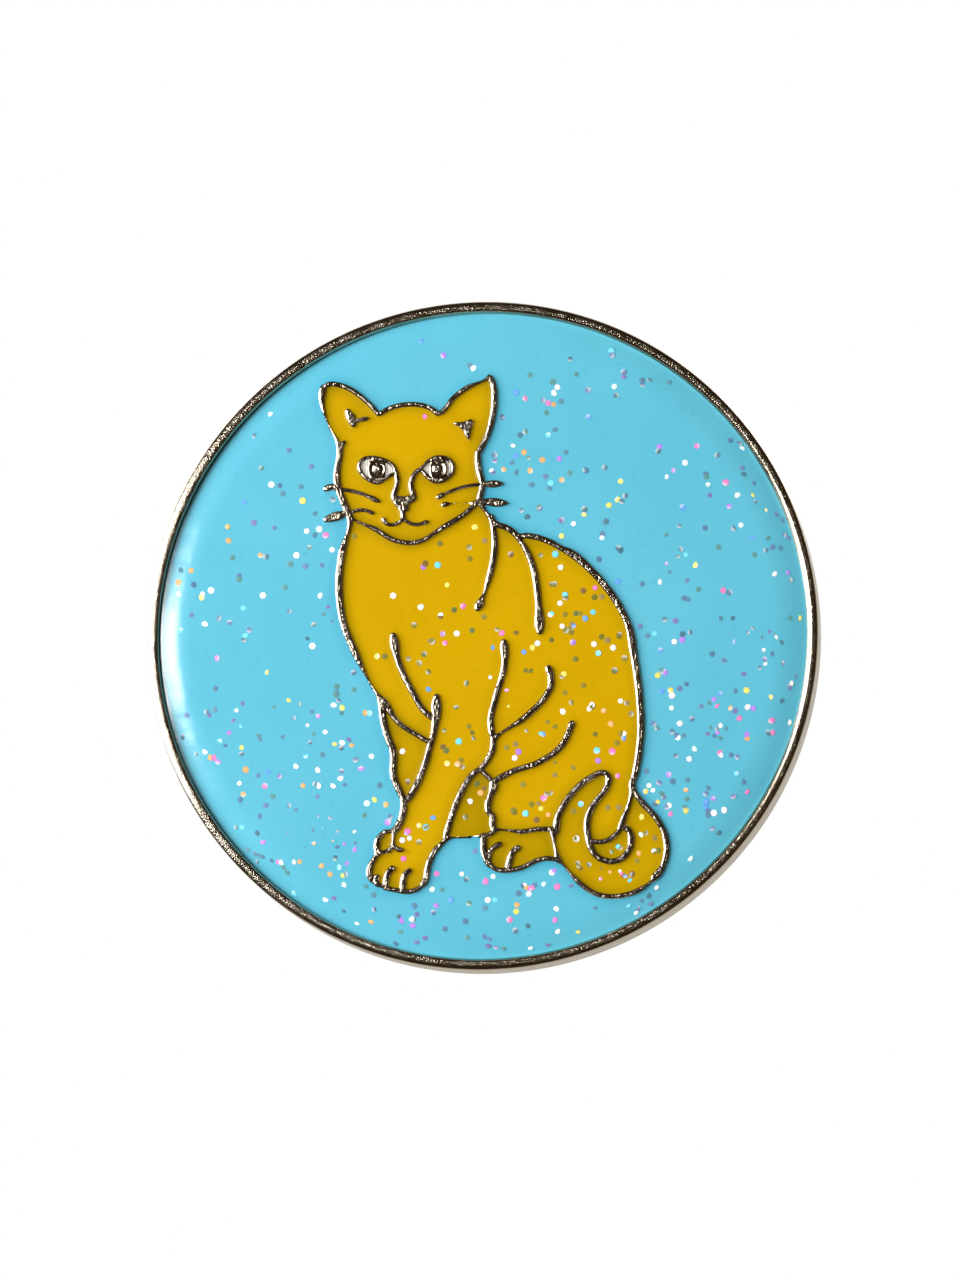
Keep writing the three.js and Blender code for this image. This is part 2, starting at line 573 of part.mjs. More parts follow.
function face() {
  const group = new THREE.Group();
  group.rotation.x = Math.PI / 2;
  group.add(named("struck_base", geometryOf(struckBase()), metal(0xb9b4ad, 0.2)));
  Object.entries(enamelCells()).forEach(([name, body]) => {
    group.add(named(name, geometryOf(body), enamel(enamelColour(name))));
  });
  return group;
}

function hardware(side, x) {
  const group = new THREE.Group();
  group.position.x = x;
  group.rotation.x = -Math.PI / 2;
  group.add(named(side + "_post", geometryOf(post()), metal(0xc2beb8, 0.25)));
  const clutch = new THREE.Group();
  clutch.position.z = CLOTH_GAP;
  clutch.add(named(side + "_clutch_disc", geometryOf(clutchDisc()), metal(0xc9c5be, 0.22)));
  clutch.add(named(side + "_clutch_frame", geometryOf(clutchFrame()), metal(0xc5c1ba, 0.25)));
  clutch.add(named(side + "_clutch_spring", clutchSpring(), metal(0xa8a49c, 0.3)));
  const wings = { right_wing: 0, left_wing: Math.PI };
  Object.entries(wings).forEach(([wing, turn]) => {
    const mesh = named(side + "_clutch_" + wing, geometryOf(clutchWing()), metal(0xc9c5be, 0.22));
    mesh.rotation.z = turn;
    clutch.add(mesh);
  });
  group.add(clutch);
  return group;
}

const group = new THREE.Group();
group.add(face());
group.add(hardware("left", -POST_SPACING / 2));
group.add(hardware("right", POST_SPACING / 2));

export default group;
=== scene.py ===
# The look of the sitting cat enamel pin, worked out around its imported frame.
import math

import bmesh
import bpy
import numpy as np
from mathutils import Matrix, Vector


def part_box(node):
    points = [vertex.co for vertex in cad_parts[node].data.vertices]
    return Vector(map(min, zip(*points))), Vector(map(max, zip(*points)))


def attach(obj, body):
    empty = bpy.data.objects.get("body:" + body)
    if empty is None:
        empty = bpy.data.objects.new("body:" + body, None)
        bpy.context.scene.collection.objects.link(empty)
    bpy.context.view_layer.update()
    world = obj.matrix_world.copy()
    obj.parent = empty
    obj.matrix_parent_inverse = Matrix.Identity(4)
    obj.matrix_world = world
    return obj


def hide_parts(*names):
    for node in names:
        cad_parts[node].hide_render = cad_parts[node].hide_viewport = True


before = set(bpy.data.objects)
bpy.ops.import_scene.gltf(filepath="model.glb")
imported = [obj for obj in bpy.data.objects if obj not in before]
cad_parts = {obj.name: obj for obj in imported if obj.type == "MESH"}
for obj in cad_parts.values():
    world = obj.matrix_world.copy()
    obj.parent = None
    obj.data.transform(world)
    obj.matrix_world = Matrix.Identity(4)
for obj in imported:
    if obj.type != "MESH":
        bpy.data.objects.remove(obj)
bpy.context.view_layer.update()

mm = 0.001  # sizes are written in millimetres, meshes are in metres
print("frame loaded,", len(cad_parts), "nodes")


def linear(hexColour):
    # an sRGB hex value as the linear colour a socket takes: a share under 0.04045 is divided by 12.92, and a
    # larger one has 0.055 added, is divided by 1.055 and raised to the power 2.4
    parts = np.array([int(hexColour[i:i + 2], 16) for i in (1, 3, 5)]) / 255
    curved = np.where(parts < 0.04045, parts / 12.92, ((parts + 0.055) / 1.055) ** 2.4)
    return (*curved.tolist(), 1.0)


def gridFaces(rows, columns, roundRows=False, roundColumns=False):
    # squares between neighbouring points of a grid, which may join up with itself either way
    row, column = np.meshgrid(
        np.arange(rows if roundRows else rows - 1),
        np.arange(columns if roundColumns else columns - 1),
        indexing="ij",
    )
    here, below, after = row * columns, (row + 1) % rows * columns, (column + 1) % columns
    return np.stack([here + column, here + after, below + after, below + column], -1).reshape(-1, 4)


def addPiece(name, points, faces, material, body, replaced=(), closed=False, smooth=True):
    # a finished piece: mesh, finish, the body it moves with and the frame nodes it stands for
    mesh = bpy.data.meshes.new(name)
    mesh.vertices.add(len(points))
    mesh.vertices.foreach_set("co", (np.asarray(points, float) * mm).ravel())
    mesh.loops.add(faces.size)
    mesh.loops.foreach_set("vertex_index", faces.astype(np.int32).ravel())
    mesh.polygons.add(len(faces))
    mesh.polygons.foreach_set("loop_start", np.arange(len(faces), dtype=np.int32) * faces.shape[1])
    mesh.update(calc_edges=True)
    if closed:
        shape = bmesh.new()
        shape.from_mesh(mesh)
        bmesh.ops.remove_doubles(shape, verts=shape.verts, dist=0.0005 * mm)
        bmesh.ops.recalc_face_normals(shape, faces=shape.faces)
        shape.to_mesh(mesh)
        shape.free()
    mesh.polygons.foreach_set("use_smooth", np.full(len(mesh.polygons), smooth))
    mesh.update()
    made = bpy.data.objects.new(name, mesh)
    bpy.context.scene.collection.objects.link(made)
    mesh.materials.append(material)
    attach(made, body)
    if replaced:
        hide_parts(*replaced)
    return made


def paint(made, name, values):
    # one number or one colour for each point, read by the finish
    kind = "FLOAT_COLOR" if values.ndim == 2 else "FLOAT"
    layer = made.data.attributes.new(name, kind, "POINT")
    layer.data.foreach_set("color" if values.ndim == 2 else "value", values.astype(np.float32).ravel())


def turnedSurface(profile, steps, x=0.0):
    # a profile of (radius, height) pairs carried round the line through (x, z = 0) that runs along +Y
    radius, height = np.array(profile, float).T
    angle = np.arange(steps) * 2 * np.pi / steps
    points = np.stack([
        x + radius[:, None] * np.cos(angle),
        np.repeat(height[:, None], steps, axis=1),
        radius[:, None] * np.sin(angle),
    ], axis=-1)
    return points.reshape(-1, 3), gridFaces(len(profile), steps, roundColumns=True)


def rounded(corners, radius=0.1, steps=4):
    # a chain of (radius, height) pairs with each inner corner swapped for a short quadratic curve
    corners = np.array(corners, float)
    before, after = corners[:-2] - corners[1:-1], corners[2:] - corners[1:-1]
    reach = [np.minimum(radius, np.linalg.norm(side, axis=1) * 0.45) for side in (before, after)]
    start = corners[1:-1] + before / np.linalg.norm(before, axis=1)[:, None] * reach[0][:, None]
    end = corners[1:-1] + after / np.linalg.norm(after, axis=1)[:, None] * reach[1][:, None]
    t = np.linspace(0, 1, steps + 1)[None, :, None]
    bends = (1 - t) ** 2 * start[:, None] + 2 * t * (1 - t) * corners[1:-1, None] + t ** 2 * end[:, None]
    return np.concatenate([corners[:1], bends.reshape(-1, 2), corners[-1:]])


def addNode(tree, kind, settings=None, values=None, links=None):
    # one shader node with its settings, socket values and incoming links
    made = tree.nodes.new("ShaderNode" + kind)
    for name, value in (settings or {}).items():
        setattr(made, name, value)
    for socket, value in (values or {}).items():
        made.inputs[socket].default_value = value
    for socket, source in (links or {}).items():
        tree.links.new(source, made.inputs[socket])
    return made


def newFinish(name):
    # an empty material, its tree, its main shader and the object's own coordinates
    made = bpy.data.materials.new(name)
    made.use_nodes = True
    tree = made.node_tree
    shader = tree.nodes["Principled BSDF"]
    place = addNode(tree, "TexCoord").outputs["Object"]
    return made, tree, shader, place


def metalFinish(name, dark, light, roughness, grain, grainDepth, blotch=1.4):
    # plated metal: colour drifts over a blotch, roughness over a third of it, and a fine grain of the given
    # size (mm) and depth (mm) breaks the reflections into sparkles
    made, tree, shader, place = newFinish(name)
    drift = addNode(tree, "TexNoise", values={"Scale": 1 / (blotch * mm), "Detail": 4.0},
                    links={"Vector": place})
    tone = addNode(tree, "Mix", {"data_type": "RGBA"}, {6: linear(dark), 7: linear(light)},
                   {0: drift.outputs["Fac"]})
    tree.links.new(tone.outputs[2], shader.inputs["Base Color"])
    wear = addNode(tree, "TexNoise", values={"Scale": 3 / (blotch * mm), "Detail": 5.0},
                   links={"Vector": place})
    polish = addNode(tree, "MapRange", values={"From Min": 0.35, "From Max": 0.7, "To Min": roughness[0],
                                               "To Max": roughness[1]}, links={"Value": wear.outputs["Fac"]})
    tree.links.new(polish.outputs[0], shader.inputs["Roughness"])
    fine = addNode(tree, "TexNoise", values={"Scale": 1 / (grain * mm), "Detail": 2.0},
                   links={"Vector": place})
    dents = addNode(tree, "Bump", values={"Strength": 1.0, "Distance": grainDepth * mm},
                    links={"Height": fine.outputs["Fac"]})
    tree.links.new(dents.outputs[0], shader.inputs["Normal"])
    shader.inputs["Metallic"].default_value = 1.0
    return made


gloss = {
    "enamelRoughness": 0.14,
    "silkRoughness": 0.25,
    "bending": 1.5,        # refractive index of the resin
    "driftSize": 6,        # mm across a paler drift
    "fleckSpacing": 0.9,   # mm between faint flecks
    "rippleSize": 2.2,     # mm from one soft wave of the surface to the next
    "rippleDepth": 0.02,   # mm
    "strokeWidth": 0.12,   # roughly the mm from one silken stroke to the next
    "filmPatch": 0.08,     # mm across a patch of the glitter film
}


def enamelFinish(name, paintedShadeColour, full, pale, speckle):
    # cold-cured soft enamel: smooth gloss over pigment, with painted shade that darkens it against the metal
    # and in narrow cells, and with paler drifts and faint flecks sunk in it
    made, tree, shader, place = newFinish(name)
    # the fill value paints shade: 0 gives the painted-shade colour, 1 the enamel's own full colour
    fill = addNode(tree, "Attribute", {"attribute_name": "fill"}).outputs["Fac"]
    body = addNode(tree, "Mix", {"data_type": "RGBA"}, {6: linear(paintedShadeColour), 7: linear(full)}, {0: fill})
    drift = addNode(tree, "TexNoise", values={"Scale": 1 / (gloss["driftSize"] * mm), "Detail": 2.0},
                    links={"Vector": place})
    drifted = addNode(tree, "MapRange", values={"From Min": 0.35, "From Max": 0.75, "To Max": 0.5},
                      links={"Value": drift.outputs["Fac"]})
    paler = addNode(tree, "Mix", {"data_type": "RGBA"}, {7: linear(pale)},
                    {0: drifted.outputs[0], 6: body.outputs[2]})
    cells = addNode(tree, "TexVoronoi", values={"Scale": 1 / (gloss["fleckSpacing"] * mm),
                                              "Randomness": 1.0}, links={"Vector": place})
    near = addNode(tree, "MapRange", values={"From Min": 0.1, "From Max": 0.17, "To Min": 0.3, "To Max": 0.0},
                   links={"Value": cells.outputs["Distance"]})
    flecked = addNode(tree, "Mix", {"data_type": "RGBA"}, {7: linear(speckle)},
                      {0: near.outputs[0], 6: paler.outputs[2]})
    tree.links.new(flecked.outputs[2], shader.inputs["Base Color"])
    ripple = addNode(tree, "TexNoise", values={"Scale": 1 / (gloss["rippleSize"] * mm), "Detail": 3.0},
                     links={"Vector": place})
    skin = addNode(tree, "Bump", values={"Strength": 1.0, "Distance": gloss["rippleDepth"] * mm},
                   links={"Height": ripple.outputs["Fac"]})
    tree.links.new(skin.outputs[0], shader.inputs["Normal"])
    shader.inputs["Roughness"].default_value = gloss["enamelRoughness"]
    shader.inputs["IOR"].default_value = gloss["bending"]
    return made


def eyeWhiteFinish():
    # white enamel drawn out in fine upright strokes, so it looks like silk; a wave's scale is about a third
    # over its spacing
    made, tree, shader, place = newFinish("white soft enamel")
    strokes = addNode(tree, "TexWave", {"wave_type": "BANDS", "bands_direction": "X"},
                      {"Scale": 0.35 / (gloss["strokeWidth"] * mm), "Distortion": 3.0, "Detail": 2.0,
                       "Detail Scale": 2.0},
                      {"Vector": place})
    tone = addNode(tree, "Mix", {"data_type": "RGBA"}, {6: linear("#9A948A"), 7: linear("#EFEBE2")},
                   {0: strokes.outputs["Fac"]})
    tree.links.new(tone.outputs[2], shader.inputs["Base Color"])
    ridges = addNode(tree, "Bump", values={"Strength": 0.6, "Distance": 0.01 * mm},
                     links={"Height": strokes.outputs["Fac"]})
    tree.links.new(ridges.outputs[0], shader.inputs["Normal"])
    shader.inputs["Roughness"].default_value = gloss["silkRoughness"]
    shader.inputs["IOR"].default_value = gloss["bending"]
    return made


def glitterFinish():
    # holographic polyester film, punched in hexagons: each flake throws one colour, so the tint is its own,
    # and it also holds the flakes' painted sparkle and painted glints; the film's rulings are too fine to
    # draw, so soft patches much coarser than them stand for them
    made, tree, shader, place = newFinish("holographic glitter film")
    tint = addNode(tree, "Attribute", {"attribute_name": "tint"}).outputs["Color"]
    lines = addNode(tree, "TexNoise", values={"Scale": 1 / (gloss["filmPatch"] * mm), "Detail": 1.0},
                    links={"Vector": place})
    shade = addNode(tree, "MapRange", values={"To Min": 0.88, "To Max": 1.06},
                    links={"Value": lines.outputs["Fac"]})
    film = addNode(tree, "VectorMath", {"operation": "SCALE"}, links={0: tint, "Scale": shade.outputs[0]})
    tree.links.new(film.outputs[0], shader.inputs["Base Color"])
    shader.inputs["Metallic"].default_value = 0.15
    shader.inputs["Roughness"].default_value = 0.35
    return made


# two colours, two roughnesses, size and depth of the grain and size of the blotches, in mm; the blasted back
# looks matt beside the polished struck metal, and the pressed and drawn metals look brighter and plainer;
# a blasted grain is finer than this in truth, and is drawn coarser so that it shows
struckNickel = metalFinish("die-struck nickel plate", "#94866F", "#CFC5B5", (0.1, 0.2), 0.07, 0.012)
backNickel = metalFinish("sandblasted nickel back", "#A8A39B", "#CBC7BF", (0.3, 0.42), 0.16, 0.012, 2.5)
pressedNickel = metalFinish("pressed nickel-plated brass", "#B5B0A6", "#DAD7D0", (0.12, 0.22), 0.15, 0.006,
                            2.0)
postSteel = metalFinish("plated post steel", "#B8B4AE", "#D5D2CC", (0.16, 0.28), 0.1, 0.006)
springSteel = metalFinish("drawn spring wire", "#8F8C87", "#B4B1AB", (0.2, 0.32), 0.08, 0.006)
# each enamel: painted-shade colour, own full colour, paler drift colour and fleck colour
blueEnamel = enamelFinish("sky blue soft enamel", "#3F9DBC", "#5FBBD3", "#6AC3DA", "#59ABC4")
yellowEnamel = enamelFinish("mustard soft enamel", "#8E7800", "#CB9F00", "#D0A602", "#B89404")
whiteEnamel = eyeWhiteFinish()
glitterFilm = glitterFinish()
print("finishes made")


# the struck face
face = {
    "pitch": 0.04,        # spacing of the points that the face is worked out on
    "outlineStep": 0.02,  # spacing of points along the rounded outlines
    "cornerTurn": 50,     # a sharper turn than this, in degrees, stays a corner
    "reach": 9,           # how many points away from an outline its distance is known
    "lineRound": 0.06,    # width of a raised line's rounded shoulder
    "lineFall": 0.07,     # how far the shoulder falls by the edge of the enamel
    "lineBelowRim": 0.06,  # how much lower than the rim the lines are
    "lineSink": 0.008,    # room left for the grain
    "skirt": 0.09,        # a raised line goes on this far into the enamel
    "skirtDrop": 0.3,     # and its edge hangs this far below the enamel's top
    "rimWidth": 0.6,      # lines and marks keep this far from the rim
    "wallGap": 0.02,      # between the enamel's solid and the rim
    "overlap": 0.17,      # how far the enamel's surface reaches in under the metal
}
rimTop = -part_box("struck_base")[0].y / mm
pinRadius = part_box("struck_base")[1].x / mm
enamelTop = -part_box("body_enamel")[0].y / mm
lineTop = rimTop - face["lineBelowRim"]
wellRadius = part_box("background_enamel")[1].x / mm + face["wallGap"]
fills = [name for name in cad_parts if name.endswith("_enamel")]

pitch = face["pitch"]
middle = int(np.ceil((pinRadius + 0.5) / pitch))
side = 2 * middle + 1
axis = (np.arange(side) - middle) * pitch
across, up = np.meshgrid(axis, axis)
fromCentre = np.hypot(across, up)


def fillOutlines(node):
    # the closed outlines of a fill's flat top as x + iz, walked with the enamel on the left
    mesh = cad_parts[node].data
    points = np.empty(len(mesh.vertices) * 3)
    mesh.vertices.foreach_get("co", points)
    points = points.reshape(-1, 3) / mm
    corners = np.empty(len(mesh.loops), dtype=int)
    mesh.loops.foreach_get("vertex_index", corners)
    triangles = corners.reshape(-1, 3)
    flat = triangles[(points[triangles, 1] < points[:, 1].min() + 0.001).all(axis=1)]
    spots, index = np.unique(np.round(points[:, 0] + 1j * points[:, 2], 3), return_inverse=True)
    edges = index[np.concatenate([flat[:, [0, 1]], flat[:, [1, 2]], flat[:, [2, 0]]])]
    there, back = edges[:, 0] * len(spots) + edges[:, 1], edges[:, 1] * len(spots) + edges[:, 0]
    following = dict(edges[~np.isin(there, back) & (edges[:, 0] != edges[:, 1])].tolist())
    outlines = []
    while following:
        spot = next(iter(following))
        walk = []
        while spot in following:
            walk.append(spot)
            spot = following.pop(spot)
        if len(walk) > 2:
            outlines.append(spots[walk])
    return outlines


def roundedOutline(outline):
    # each edge becomes a cubic whose ends run along the circle through the neighbouring points; at a sharp
    # corner the end mirrors the edge's other end, so the edge stays one even arc
    chord = np.roll(outline, -1) - outline
    length, before = np.abs(chord), np.roll(np.abs(chord), 1)
    ahead = chord / length
    behind = np.roll(ahead, 1)
    heading = behind * length + ahead * before
    heading = heading / np.abs(heading)
    sharp = np.abs(np.angle(ahead / behind)) > math.radians(face["cornerTurn"])
    sharpEnd, headingEnd = np.roll(sharp, -1), np.roll(heading, -1)
    leave = np.where(sharp, np.where(sharpEnd, ahead, ahead ** 2 / headingEnd), heading)
    arrive = np.where(sharpEnd, np.where(sharp, ahead, ahead ** 2 / heading), headingEnd)
    counts = np.ceil(length / face["outlineStep"]).astype(int)
    edge = np.repeat(np.arange(len(outline)), counts)
    t = (np.arange(len(edge)) - np.repeat(np.cumsum(counts) - counts, counts)) / counts[edge]
    return (
        (2 * t ** 3 - 3 * t ** 2 + 1) * outline[edge]
        + (t ** 3 - 2 * t ** 2 + t) * (length * leave)[edge]
        + (3 * t ** 2 - 2 * t ** 3) * np.roll(outline, -1)[edge]
        + (t ** 3 - t ** 2) * (length * arrive)[edge]
    )


def insideOf(outlines):
    # along each row of points the count goes up by one at every falling edge and down at every rising one,
    # and a point is inside where the count is one
    starts = np.concatenate(outlines)
    ends = np.concatenate([np.roll(outline, -1) for outline in outlines])
    rows = np.floor(np.stack([starts.imag, ends.imag]) / pitch).astype(int) + middle
    crossing = rows[0] != rows[1]
    start, end, row = starts[crossing], ends[crossing], rows.max(axis=0)[crossing]
    share = ((row - middle) * pitch - start.imag) / (end.imag - start.imag)
    x = start.real + (end.real - start.real) * share
    steps = np.zeros((side, side))
    np.add.at(steps, (row, np.ceil(x / pitch).astype(int) + middle), np.where(end.imag < start.imag, 1, -1))
    return np.cumsum(steps, axis=1) > 0.5


def nearestFill(outlineSets):
    # for every point near an outline: its distance to the nearest outline, taken to the short straight piece
    # of outline round each of its spots, and which fill that one bounds
    nearest = np.full(side * side, 10 ** 9 * 16, dtype=np.int64)
    for label, outlines in enumerate(outlineSets):
        spots = np.concatenate(outlines)
        heading = np.concatenate([np.roll(outline, -1) - outline for outline in outlines])
        heading = heading / np.abs(heading)
        column = np.rint(spots.real / pitch).astype(int) + middle
        row = np.rint(spots.imag / pitch).astype(int) + middle
        for dz in range(-face["reach"], face["reach"] + 1):
            for dx in range(-face["reach"], face["reach"] + 1):
                away = (column + dx - middle) * pitch + 1j * (row + dz - middle) * pitch - spots
                away = away / heading
                along = np.maximum(np.abs(away.real) - face["outlineStep"] / 2, 0)
                gap = (np.hypot(along, away.imag) * 1e5).astype(np.int64)
                np.minimum.at(nearest, (row + dz) * side + column + dx, gap * 16 + label)
    return (nearest // 16 / 1e5).reshape(side, side), (nearest % 16).reshape(side, side)


outlineSets = [[roundedOutline(outline) for outline in fillOutlines(node)] for node in fills]
distance, owner = nearestFill(outlineSets)
known = distance < 100
reachLimit = face["reach"] * pitch
distance = np.minimum(distance, reachLimit)
inEnamel = np.zeros((side, side), dtype=bool)
for label, outlines in enumerate(outlineSets):
    inside = insideOf(outlines)
    owner[inside] = label
    inEnamel |= inside
depth = np.where(inEnamel, -distance, distance)  # how far a point is inside the metal
known |= inEnamel
print("face outlines worked out,", sum(len(s) for sets in outlineSets for s in sets), "points")


def smoothNoise(size, seed):
    # random values on a coarse grid of the given spacing (mm), blended between the grid's points by three
    # times the square less twice the cube
    random = np.random.default_rng(seed)
    count = int(side * pitch / size) + 3
    values = random.standard_normal((count, count))
    place = np.arange(side) * pitch / size
    low = place.astype(int)
    part = place - low
    part = part * part * (3 - 2 * part)
    rows = values[low] * (1 - part[:, None]) + values[low + 1] * part[:, None]
    return rows[:, low] * (1 - part) + rows[:, low + 1] * part


def keptSurface(keep, height, step=1):
    # the grid's points where keep is true as a surface looking along -Y
    keep, height = keep[::step, ::step], height[::step, ::step]
    x, z = across[::step, ::step], up[::step, ::step]
    whole = keep[:-1, :-1] & keep[:-1, 1:] & keep[1:, 1:] & keep[1:, :-1]
    number = np.arange(keep.size).reshape(keep.shape)
    faces = np.stack([number[:-1, :-1][whole], number[:-1, 1:][whole], number[1:, 1:][whole],
                      number[1:, :-1][whole]], axis=1)
    used, faces = np.unique(faces, return_inverse=True)
    points = np.stack([x.ravel()[used], -height.ravel()[used], z.ravel()[used]], axis=1)
    return points, faces.reshape(-1, 4), used


# the grain of the lines: rise and fall, and size from one rise to the next
lineGrain = {"fine": (0.0035, 0.09), "coarse": (0.003, 0.3)}

eyes = {
    "irisRadius": 0.42,
    "irisSink": 0.02,      # the iris lies this much lower than the lines
    "grooveRadius": 0.27,  # the groove between iris and pupil
    "grooveWidth": 0.05,
    "grooveDepth": 0.04,
}


def irisCentres():
    # each iris sits between the two enamel corners of its eye
    pairs = (
        ("left_eye_outer_enamel", "left_eye_inner_enamel"),
        ("right_eye_inner_enamel", "right_eye_outer_enamel"),
    )
    centres = []
    for leftNode, rightNode in pairs:
        one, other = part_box(leftNode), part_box(rightNode)
        heights = one[0].z + one[1].z + other[0].z + other[1].z
        centres.append(((one[1].x + other[0].x) / 2 / mm, heights / 4 / mm))
    return centres


def raisedLines():
    # height of the metal: level on top, falling by the square of how far the shoulder has turned over, with
    # a fine grain all over and a groove round each pupil whose depth is a bell curve of the distance to its
    # circle
    turned = np.clip((face["lineRound"] - depth) / face["lineRound"], 0, None)
    height = lineTop - face["lineSink"] - face["lineFall"] * turned ** 2
    fineRise, fineSize = lineGrain["fine"]
    coarseRise, coarseSize = lineGrain["coarse"]
    height += fineRise * smoothNoise(fineSize, 11) + coarseRise * smoothNoise(coarseSize, 12)
    for x, z in irisCentres():
        out = np.hypot(across - x, up - z)
        groove = np.exp(-((out - eyes["grooveRadius"]) / eyes["grooveWidth"]) ** 2)
        height -= eyes["grooveDepth"] * groove + eyes["irisSink"] * (out < eyes["irisRadius"])
    height = np.minimum(height, rimTop - 0.005)
    keep = known & (depth > -face["skirt"]) & (fromCentre < wellRadius - face["rimWidth"])
    height = np.where(depth < -face["skirt"] * 0.7, enamelTop - face["skirtDrop"], height)
    points, faces, used = keptSurface(keep, height)
    return addPiece("raised_lines", points, faces, struckNickel, "pin")


enamel = {
    "sag": 0.012,        # how far the middle of a cell lies below its edge
    "ripple": 0.004,     # rise and fall of its surface
    "rollStart": 13.85,  # the ground rolls off towards the rim from this radius
    "rollDrop": 0.155,   # and has dropped by this much at the rim
    "openReach": 0.5,    # half the width of the square that tells how open a cell is
    # these cells get more painted shade all over: their fill value is scaled by this
    "cellUnshaded": {"belly_enamel": 0.4, "hind_paw_enamel": 0.55, "far_paw_enamel": 0.5, "far_leg_enamel": 0.8,
             "tail_enamel": 0.75, "tail_curl_enamel": 0.6},
}


def unshadedShare(label):
    # how free of painted shade the enamel is at each point, low in narrow cells and against the metal: the
    # share of a square round the point that is its own enamel, averaged twice, where a share of 0.35 counts
    # as closed and 0.9 as open; this makes three quarters, and the last quarter is how far the metal is
    atRim = fromCentre > wellRadius - reachLimit
    share = (inEnamel & (owner == label) | atRim).astype(float)
    reach = int(enamel["openReach"] / pitch)
    for turn in range(4):
        sums = np.cumsum(np.pad(share, ((reach + 1, reach), (0, 0)), mode="edge"), axis=0)
        share = ((sums[2 * reach + 1:] - sums[:-2 * reach - 1]) / (2 * reach + 1)).T
    wall = np.where(atRim, 1.0, np.clip(distance / reachLimit, 0, 1) ** 0.7 * inEnamel)
    return np.clip((share - 0.35) / 0.55, 0, 1) * 0.75 + 0.25 * wall


def enamelFill(label, node):
    # height of the fill: level in the middle, climbing the metal as the fourth power of the nearness to it,
    # and falling towards the rim as the square of how far the roll has gone
    near = 1 - distance / reachLimit
    climb = np.where(inEnamel, near ** 4, 1.0)
    roll = np.clip((fromCentre - enamel["rollStart"]) / (wellRadius - enamel["rollStart"]), 0, None)
    height = enamelTop - enamel["sag"] * (1 - climb) - enamel["rollDrop"] * roll ** 2
    height += enamel["ripple"] * smoothNoise(2.5, 21)
    height = np.minimum(height, enamelTop)
    keep = known & (owner == label) & (depth < face["overlap"])
    step = 2 if node in ("background_enamel", "body_enamel") else 1  # the two widest fills need fewer points
    points, faces, used = keptSurface(keep, height, step)
    colour = "blue" if node == "background_enamel" else "white" if "eye" in node else "yellow"
    finish = {"blue": blueEnamel, "yellow": yellowEnamel, "white": whiteEnamel}[colour]
    made = addPiece(node.replace("enamel", "fill"), points, faces, finish, "pin", [node])
    cellUnshaded = enamel["cellUnshaded"].get(node, 1.0)
    # painted shade: the fill value is how free of shade each point is, scaled down in the listed cells
    paint(made, "fill", unshadedShare(label)[::step, ::step].ravel()[used] * cellUnshaded)
    return made


raisedLines()
for label, node in enumerate(fills):
    enamelFill(label, node)
print("raised lines and", len(fills), "fills made")


# rim and back
plate = {
    "steps": 512,
    "lip": 0.06,         # how far the rim's inside starts under the enamel
    "crest": 15.72,      # the rim is level from this radius
    "crestEnd": 15.88,   # to this one
    "lean": 0.18,        # polishing has worn the left of the rim: its level part lies this much further in
    "innerFall": 0.12,   # how far the rim's inside falls by the edge of the well
    "shoulder": 0.12,    # how far the rim's outside rounds over
    "ripple": 0.0005,    # unevenness of the polished top
    "backEdge": 0.16,    # rounding of the back edge
    "backBorder": 0.9,   # width of the plain border round the back
    "panelEdge": 1.15,   # the blasted panel of the back starts this far in from the edge
    "panelDepth": 0.07,
}


def rimPlate():
    # the rim's section is a parabola up to its crest, level across it and a quarter ellipse outside it; then
    # come the upright side, the rounded back edge and the back face, whose middle is a shallow panel
    start = wellRadius - plate["lip"]
    inner = np.linspace(start, plate["crest"], 10)
    fall = (plate["crest"] - inner) / (plate["crest"] - wellRadius)
    bead = np.stack([inner, rimTop - plate["innerFall"] * fall ** 2], axis=1)
    turn = np.linspace(0, np.pi / 2, 10)
    outside = np.stack([
        plate["crestEnd"] + (pinRadius - plate["crestEnd"]) * np.sin(turn),
        rimTop - plate["shoulder"] * (1 - np.cos(turn)),
    ], axis=1)
    panel = pinRadius - plate["panelEdge"]
    sideWall = rounded([
        (pinRadius, rimTop - plate["shoulder"]), (pinRadius, 0), (pinRadius - plate["backBorder"], 0),
        (panel, plate["panelDepth"]), (0, plate["panelDepth"]),
    ], plate["backEdge"], 5)
    floor = rimTop - 0.5  # out of sight under the enamel
    section = np.concatenate([[(0, floor), (start, floor)], bead, outside, sideWall[1:]])
    points, faces = turnedSurface([(r, -h) for r, h in section], plate["steps"])
    angle = np.arctan2(points[:, 2], points[:, 0])
    random = np.random.default_rng(31)
    waves = random.integers(5, 160, 14)
    ripple = np.cos(np.outer(angle, waves) + random.uniform(0, 6.28, 14)).sum(axis=1) * plate["ripple"]
    onTop = points[:, 1] < -rimTop + 0.2
    points[:, 1] += np.where(onTop, np.abs(ripple), 0)
    # the top leans in by the cosine of the angle round the pin: most at the left, not at all at the right
    lean = plate["lean"] * (0.5 - 0.5 * np.cos(angle)) * onTop
    radius = np.hypot(points[:, 0], points[:, 2])
    corners = [start, plate["crest"], plate["crestEnd"], pinRadius]
    scale = 1 - lean * np.interp(radius, corners, [0, 1, 1, 0]) / np.maximum(radius, 1)
    points[:, [0, 2]] *= scale[:, None]
    made = addPiece("rim_and_plate", points, faces, struckNickel, "pin", ["struck_base"],
                    True)
    # the panel of the back is blasted, the rest polished
    made.data.materials.append(backNickel)
    middles = np.empty(len(made.data.polygons) * 3)
    made.data.polygons.foreach_get("center", middles)
    x, y, z = middles.reshape(-1, 3).T / mm
    blasted = (y > -plate["panelDepth"] - 0.02) & (np.hypot(x, z) < panel)
    made.data.polygons.foreach_set("material_index", blasted.astype(np.int32))
    return made


rimPlate()
print("rim and plate made")


